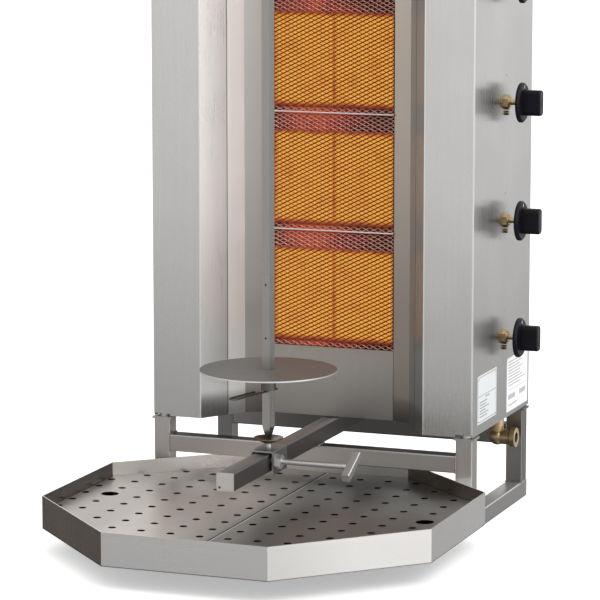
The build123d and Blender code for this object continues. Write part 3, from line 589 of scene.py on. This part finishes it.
def dress_spit_and_clamps():
    """Spit with its disc and pin, the saddle and the clamps, and the rods of the guards."""
    turned = undirected("turned_steel", (0.55, 0.53, 0.51), "x", 0.3)
    dress(turned, 0.4, ["clamp_pad", "upper_clamp_pad", "drive_socket", "housing_bolts"])
    cup = undirected("brown_cup", (0.6, 0.57, 0.54), "x", 0.42, finish=smoked_cup)
    dress(cup, 0.4, ["spit_cup"])
    saddle = undirected("zinc_saddle", (0.6, 0.6, 0.61), "y", 0.42, finish=bright_nut)
    dress(saddle, 0.4, ["saddle"])
    zinc = undirected("zinc_rod", (0.56, 0.55, 0.55), "x", 0.45)
    dress(zinc, 1.2, ["clamp_screw", "upper_clamp_screw"])
    dress(brushed("drawn_bar", (0.52, 0.5, 0.475), "z", anisotropic=0.3), 0.5, ["spit_bar"])
    disc = brushed("disc_sheet", (0.14, 0.138, 0.135), "x", 0.5, anisotropic=0.2, streaks=0.03,
                   finish=disc_rim_highlight, metallic=0.5)
    dress(disc, 0.4, ["spit_disc"])
    dress(undirected("blued_wire", (0.2, 0.15, 0.13), "xy", 0.35), 0, ["spit_pin"])
    dress(undirected("bright_rod", (0.82, 0.74, 0.71), "x", 0.3), 0, ["guard_rods"])


def dress_burners_and_controls():
    """Ceramics, burner cases, gas line, valves, motor and plastics."""
    dress(glowing_ceramic(), 0, ["ceramic_plaques"])
    dress(scorched_steel(), 0.3, ["burner_cases", "mixer_tubes"])
    brass = cast_brass("cast_brass", (0.6, 0.45, 0.25))
    dress(brass, 0.5, ["gas_elbow", "inlet_union", "valve_bodies", "valve_nuts"])
    dress(brass, 0.5, numbered("valve_rotor"))
    dress(cast_brass("dark_brass", (0.33, 0.22, 0.1)), 0.3, ["bypass_screws"])
    dress(painted("yellow_enamel", (0.62, 0.45, 0.05)), 0.4, ["gas_manifold"])
    dress(painted("motor_enamel", (0.03, 0.035, 0.045)), 0.6, ["gearmotor"])
    soot = (0.0045, 0.0045, 0.0075)
    black = moulded_plastic("black_plastic", soot, 0.45, Specular_IOR_Level=0.13)
    dress(black, 0.6, [*numbered("knob"), "cable_gland", "switch_frame"])
    dress(moulded_plastic("red_plastic", (0.45, 0.012, 0.01), 0.25), 0.4, ["switch_rocker"])
    dress(moulded_plastic("rubber", (0.025, 0.025, 0.025), 0.7), 0.6, ["tray_pads"])


# ---------------------------------------------------------------- pieces
def piece(name, mesh, material, body):
    """A finished mesh that rides on a body."""
    made = bpy.data.objects.new(name, mesh)
    bpy.context.scene.collection.objects.link(made)
    mesh.materials.append(material)
    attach(made, body)
    return made


def mesh_from(work, name):
    """The finished mesh of a bmesh."""
    mesh = bpy.data.meshes.new(name)
    work.to_mesh(mesh)
    work.free()
    return mesh


def bar_between(work, start, end, width, depth, twist):
    """Flat bar between two points in a guard's plane, turned about its own length."""
    along = (end - start).normalized()
    outward = Matrix.Rotation(twist, 3, along) @ Vector((0, -1, 0))
    across = along.cross(outward)
    ring = [(-1, -1), (1, -1), (1, 1), (-1, 1)]
    rings = []
    for centre in (start, end):
        corners = [centre + across * (a * width / 2) + outward * (b * depth / 2) for a, b in ring]
        rings.append([work.verts.new(corner) for corner in corners])
    for index in range(4):
        following = (index + 1) % 4
        work.faces.new([rings[0][index], rings[0][following], rings[1][following], rings[1][index]])
    for end_ring in rings:
        work.faces.new(end_ring)


def guard_strands(work, corner, rows, half_long):
    """One guard's diamonds: strands that rise or fall by half a diamond and lean out of line."""
    lean = 0.35 * MM
    rising_section = (1.5 * MM, 1.1 * MM, math.radians(30))
    falling_section = (0.7 * MM, 1.0 * MM, math.radians(-40))
    for column in range(MESH_COLUMNS):
        for row in range(rows):
            rising = (column + row) % 2 == 0
            ends = []
            for step, level in enumerate((row, row + 1) if rising else (row + 1, row)):
                x = corner.x + (column + step) * half_long
                y = corner.y + (lean if level % 2 else -lean)
                ends.append(Vector((x, y, corner.z + level * HALF_DIAMOND + 0.5 * MM)))
            bar_between(work, *ends, *(rising_section if rising else falling_section))


def guard_metal():
    """Expanded metal: scorched, painted shade before the plates, painted glow light over the cases.
    """
    material, graph, shader = principled("expanded_metal", metallic=1.0)
    scale = graph.noise(graph.place(), 260.0, 3.0)
    # scorched strands with painted shade before the glowing plates; painted pink glow light on the
    # strands over the cases between them
    scorched_and_shaded = graph.blend(scale, rgba((0.15, 0.055, 0.04)), rgba((0.34, 0.17, 0.135)))
    glow_lit = graph.blend(scale, rgba((0.6, 0.28, 0.23)), rgba((0.98, 0.66, 0.56)))
    between = graph.remap(beyond_plates(graph), -2 * MM, 3 * MM, 0, 1)
    connect(graph, shader, Base_Color=graph.blend(between, scorched_and_shaded, glow_lit),
            Roughness=graph.remap(scale, 0.3, 0.7, 0.35, 0.55))
    return material


def mesh_guards():
    """Expanded metal in front of each burner, in place of the plain sheets of the CAD."""
    low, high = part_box("mesh_guards")
    gap = 1 * MM
    height = (high.z - low.z + gap) / BURNERS
    rows = int((height - 2 * gap) / HALF_DIAMOND)
    half_long = (high.x - low.x) / MESH_COLUMNS
    work = bmesh.new()
    for burner in range(BURNERS):
        corner = Vector((low.x, (low.y + high.y) / 2, low.z + burner * height))
        guard_strands(work, corner, rows, half_long)
    mesh = mesh_from(work, "expanded_mesh_guards")
    guards = piece("expanded_mesh_guards", mesh, guard_metal(), "frame")
    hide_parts("mesh_guards")


def rounded_outline(width, height, radius, steps=5):
    """Points of a rectangle with round corners, about its centre."""
    points = []
    for corner, (right, up) in enumerate([(1, 1), (-1, 1), (-1, -1), (1, -1)]):
        centre = Vector((right * (width / 2 - radius), up * (height / 2 - radius)))
        for step in range(steps + 1):
            angle = corner * math.pi / 2 + step * math.pi / 2 / steps
            points.append(centre + Vector((math.cos(angle), math.sin(angle))) * radius)
    return points


def label_sheet(work, centre, width, height, thickness, radius):
    """Thin sheet with round corners that stands on a wall that faces +X; width is along Y."""
    outline = rounded_outline(width, height, radius)
    rings = []
    for out, shrink in ((0, 1), (thickness * 0.7, 1), (thickness, 0.994)):
        corners = [centre + Vector((out, point.x * shrink, point.y * shrink)) for point in outline]
        rings.append([work.verts.new(corner) for corner in corners])
    count = len(outline)
    for lower, upper in zip(rings, rings[1:]):
        for index in range(count):
            following = (index + 1) % count
            work.faces.new([lower[index], lower[following], upper[following], upper[index]])
    work.faces.new(rings[-1])
    work.faces.new(list(reversed(rings[0])))


def lathe(work, base, axis, profile, steps=20):
    """Solid of revolution on a base; the profile, (radius, height) in mm, ends on the axis."""
    axis = axis.normalized()
    side = axis.orthogonal().normalized()
    other = axis.cross(side)
    rings = []
    for radius, height in profile:
        centre = base + axis * height * MM
        if radius == 0:
            rings.append([work.verts.new(centre)])
            continue
        ring = []
        for step in range(steps):
            angle = step * math.tau / steps
            spoke = side * math.cos(angle) + other * math.sin(angle)
            ring.append(work.verts.new(centre + spoke * radius * MM))
        rings.append(ring)
    for lower, upper in zip(rings, rings[1:]):
        for index in range(steps):
            following = (index + 1) % steps
            if len(upper) == 1:         # the profile's last point, on the axis
                work.faces.new([lower[index], lower[following], upper[0]])
            else:
                work.faces.new([lower[index], lower[following], upper[following], upper[index]])
    work.faces.new(list(reversed(rings[0])))


def printed_lines(count, top, pitch, thickness, left, shortest):
    """Bars of uneven length, one below the other, where a label has lines of print."""
    bars = []
    for row in range(count):
        upper = top - row * pitch
        bars.append((left, shortest + 0.3 * RNG.random(), upper - thickness, upper))
    return bars


def info_sticker():
    """White sticker behind the rating plate on the right wall, with grey bars for print."""
    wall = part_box("housing_side_right")[1].x
    plate_low, plate_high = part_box("rating_plate")
    width, height = 105 * MM, 80 * MM
    centre = Vector((wall, plate_high.y + 53 * MM + width / 2, plate_low.z - 8 * MM + height / 2))
    work = bmesh.new()
    label_sheet(work, centre, width, height, 0.25 * MM, 2 * MM)
    half = Vector((0, width / 2, height / 2))
    bars = printed_lines(9, top=0.93, pitch=0.055, thickness=0.022, left=0.07, shortest=0.62)
    bars += [(0.07, 0.93, 0.385, 0.395), (0.07, 0.4, 0.22, 0.31)]
    bars += [(0.6, 0.9, 0.22, 0.31), (0.07, 0.5, 0.1, 0.13)]
    ground, ink = (0.78, 0.78, 0.79), (0.25, 0.26, 0.3)
    paper = printed_plate("sticker_paper", ground, ink, centre - half, centre + half, bars)
    piece("info_sticker", mesh_from(work, "info_sticker"), paper, "frame")


def rating_plate():
    """Blank aluminium plate: a dark border and bars, with a rivet in each corner."""
    low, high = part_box("rating_plate")
    edge = 0.03
    far = 1 - edge
    border = [(edge, far, 1 - 1.6 * edge, far), (edge, far, edge, 1.6 * edge),
              (edge, edge + 0.01, edge, far), (far - 0.01, far, edge, far)]
    bars = [*border, (edge, far, 0.56, 0.575), (0.4, 0.62, 0.5, 0.53)]
    bars += printed_lines(6, top=0.45, pitch=0.06, thickness=0.025, left=0.1, shortest=0.4)
    ground, ink = (0.68, 0.7, 0.71), (0.14, 0.15, 0.18)
    plate = printed_plate("printed_aluminium", ground, ink, low, high, bars, metallic=0.25)
    dress(plate, 0.3, ["rating_plate"])
    work = bmesh.new()
    inset = 4.5 * MM
    for y in (low.y + inset, high.y - inset):
        for z in (low.z + inset, high.z - inset):
            dome = [(1.6, 0), (1.5, 0.5), (0.9, 0.85), (0, 0.95)]
            lathe(work, Vector((high.x, y, z)), Vector((1, 0, 0)), dome)
    metal = undirected("rivet_metal", (0.7, 0.7, 0.7), "x", 0.3)
    piece("plate_rivets", mesh_from(work, "plate_rivets"), metal, "frame")


def button_screws():
    """Socket button-head screws that hold the back panel and the motor's cover."""
    head = [(3.6, 0), (3.6, 0.5), (3.1, 1.3), (2.2, 1.8), (1.5, 1.9), (1.4, 0.7), (0, 0.6)]
    metal = undirected("screw_metal", (0.5, 0.5, 0.5), "x", 0.3)
    small_head = [(radius * 0.9, height * 0.8) for radius, height in head]
    small_height = 1.52 * MM
    low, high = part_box("housing_back")
    inset = Vector((9 * MM, 0, 14 * MM))
    first, last = low + inset, high - inset
    rows = 6
    work = bmesh.new()
    for row in range(rows):
        z = first.z + row * (last.z - first.z) / (rows - 1)
        for x in (first.x, last.x):
            lathe(work, Vector((x, high.y - small_height, z)), Vector((0, 1, 0)), small_head)
    piece("back_panel_screws", mesh_from(work, "back_panel_screws"), metal, "frame")
    low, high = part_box("motor_cover")
    work = bmesh.new()
    for side in (-1, 1):
        x = high.x if side > 0 else low.x
        for y in (low.y + 16 * MM, high.y - 16 * MM):
            lathe(work, Vector((x, y, low.z + 10 * MM)), Vector((side, 0, 0)), head)
    piece("cover_screws", mesh_from(work, "cover_screws"), metal, "drive_arm")


def index_marks():
    """White mark near the top of each knob's flange."""
    white = moulded_plastic("mark_paint", (0.75, 0.75, 0.75), 0.5)
    for index in range(1, BURNERS + 1):
        low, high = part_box(f"knob_{index}")
        middle = (low + high) / 2
        radius = (high.z - low.z) / 2
        work = bmesh.new()
        flange = low.x + 5.8 * MM
        centre = Vector((flange, middle.y, middle.z + radius - 6.2 * MM))
        label_sheet(work, centre, 1.5 * MM, 4.6 * MM, 0.25 * MM, 0.7 * MM)
        mark = mesh_from(work, f"index_mark_{index}")
        piece(f"index_mark_{index}", mark, white, f"knob_{index}")


def weld_bead(work, start, end, radius):
    """Row of overlapping drops along a line."""
    length = (end - start).length
    count = max(3, int(length / (radius * 1.1)))
    for step in range(count):
        stray = Vector([RNG.uniform(-1, 1) for _ in range(3)]) * radius * 0.16
        centre = start.lerp(end, (step + 0.5) / count) + stray
        size = radius * RNG.uniform(0.85, 1.15)
        drop = bmesh.ops.create_icosphere(work, subdivisions=2, radius=size)
        bmesh.ops.translate(work, verts=drop["verts"], vec=centre)


def welds():
    """Beads where the rails meet the legs and where the beam lies on its cross rails."""
    work = bmesh.new()
    legs_low, legs_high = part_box("legs")
    front = legs_low.y
    rear = legs_high.y - TUBE
    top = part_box("cross_rails")[1].z
    for x in (legs_low.x + TUBE, legs_high.x - TUBE):
        for y in (front, rear):
            for face in (y, y + TUBE):
                weld_bead(work, Vector((x, face, top - TUBE)), Vector((x, face, top)), 1.3 * MM)
            weld_bead(work, Vector((x, y, top)), Vector((x, y + TUBE, top)), 1.2 * MM)
    beam_low, beam_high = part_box("carriage_beam")
    for x in (beam_low.x, beam_high.x):
        for y in (front, rear):
            weld_bead(work, Vector((x, y, top)), Vector((x, y + TUBE, top)), 1.2 * MM)
    for side in (legs_low.x, legs_low.x + TUBE, legs_high.x - TUBE, legs_high.x):
        for y in (front, rear):
            weld_bead(work, Vector((side, y, TUBE)), Vector((side, y + TUBE, TUBE)), 1.1 * MM)
    metal = undirected("weld_metal", (0.3, 0.27, 0.25), "x", 0.38, streaks=0.2)
    piece("weld_beads", mesh_from(work, "weld_beads"), metal, "frame")


# ---------------------------------------------------------------- studio
def paper_floor():
    """Pale paper under the machine, which its polished sheets don't mirror."""
    work = bmesh.new()
    bmesh.ops.create_grid(work, x_segments=1, y_segments=1, size=12.0)
    floor = bpy.data.objects.new("floor", mesh_from(work, "floor"))
    bpy.context.scene.collection.objects.link(floor)
    material, graph, shader = principled("floor_paper", Roughness=0.9, Specular_IOR_Level=0.1)
    fibre = graph.noise(graph.place(), 3.0, 2.0)
    paper = graph.blend(fibre, rgba(0.91), rgba(0.94))
    connect(graph, shader, Base_Color=paper, Emission_Color=paper)
    shader.inputs["Emission Strength"].default_value = 0.42
    floor.data.materials.append(material)
    floor.visible_glossy = False


def levels_along(graph, value, low, high, levels):
    """Brightness along a value as a share of its greatest level, and that level."""
    greatest = max(level for place, level in levels)
    stops = [((place - low) / (high - low), level / greatest) for place, level in levels]
    return graph.ramp(graph.remap(value, low, high, 0, 1), stops), greatest


def mirrored_room(graph):
    """What reflections find: a ring of bright and dark walls that get brighter further up.

    The ring goes round in degrees, 0 straight ahead of the machine and 90 to its right.
    """
    direction = graph.node("ShaderNodeTexCoord").outputs["Generated"]
    split = graph.node("ShaderNodeSeparateXYZ", {"Vector": direction})
    ahead = graph.math("MULTIPLY", split.outputs["Y"], -1.0)
    azimuth = graph.math("DEGREES", graph.math("ARCTAN2", split.outputs["X"], ahead))
    around = [(-180, 0.76), (-158, 0.8), (-135, 0.2), (-112, 0.12), (-92, 0.22), (-72, 0.62),
              (-24, 0.75), (-14, 1.0), (34, 0.85), (50, 1.1), (62, 2.0), (76, 2.4), (98, 2.15),
              (124, 1.22), (146, 1.24), (164, 1.31), (174, 0.95), (180, 0.76)]
    upwards = [(-1.0, 0.1), (-0.5, 0.16), (-0.3, 0.36), (-0.12, 0.8), (0.0, 1.02), (0.3, 1.15),
               (1.0, 1.3)]
    ring, brightest = levels_along(graph, azimuth, -180, 180, around)
    rise, overhead = levels_along(graph, split.outputs["Z"], -1, 1, upwards)
    strength = graph.math("MULTIPLY", rise, brightest * overhead)
    return graph.node("ShaderNodeBackground", {"Color": ring, "Strength": strength})


def room():
    """A white room for the camera, and a softer, one-sided one for the light and reflections."""
    world = bpy.data.worlds.new("studio")
    bpy.context.scene.world = world
    world.use_nodes = True
    world.cycles.sampling_method = "NONE"
    graph = Graph(world.node_tree)
    reflected = mirrored_room(graph)
    direction = graph.node("ShaderNodeTexCoord").outputs["Generated"]
    sideways = graph.node("ShaderNodeSeparateXYZ", {"Vector": direction}).outputs["X"]
    warm_white = rgba((1.0, 0.995, 0.985))
    strength = graph.remap(sideways, -1, 1, 1.05, 1.25)
    ambient = graph.node("ShaderNodeBackground", {"Color": warm_white, "Strength": strength})
    seen = graph.node("ShaderNodeBackground", {"Color": rgba(1.0), "Strength": 1.0})
    rays = graph.node("ShaderNodeLightPath").outputs
    lights = {0: rays["Is Glossy Ray"], 1: ambient.outputs[0], 2: reflected.outputs[0]}
    lit = graph.node("ShaderNodeMixShader", lights)
    sights = {0: rays["Is Camera Ray"], 1: lit.outputs[0], 2: seen.outputs[0]}
    shown = graph.node("ShaderNodeMixShader", sights)
    graph.node("ShaderNodeOutputWorld", {"Surface": shown.outputs[0]})
    bpy.context.scene.view_settings.view_transform = "Standard"


def soft_key():
    """A large soft lamp from the front right that gives the shadows their direction."""
    lamp = bpy.data.lights.new("soft_key", "AREA")
    lamp.shape = "RECTANGLE"
    lamp.size = 1.6
    lamp.size_y = 1.6
    lamp.energy = 28
    made = bpy.data.objects.new("soft_key", lamp)
    bpy.context.scene.collection.objects.link(made)
    made.location = (2.2, -1.6, 2.6)
    towards = Vector((0, 0, 0.5)) - made.location
    made.rotation_euler = towards.to_track_quat("-Z", "Y").to_euler()


def camera():
    """The viewpoint: ahead of the machine, to its right and slightly above, with a long lens."""
    lens = bpy.data.cameras.new("camera")
    lens.lens = 189.09
    lens.sensor_width = 36.0
    lens.clip_end = 60.0
    made = bpy.data.objects.new("camera", lens)
    bpy.context.scene.collection.objects.link(made)
    made.location = (1.55697, -4.08258, 1.03903)
    made.rotation_euler = (math.radians(80.904), 0.0, math.radians(20.692))
    bpy.context.scene.camera = made


dress_housing()
dress_frame_and_tray()
dress_spit_and_clamps()
dress_burners_and_controls()
mesh_guards()
rating_plate()
info_sticker()
index_marks()
button_screws()
welds()
paper_floor()
room()
soft_key()
camera()
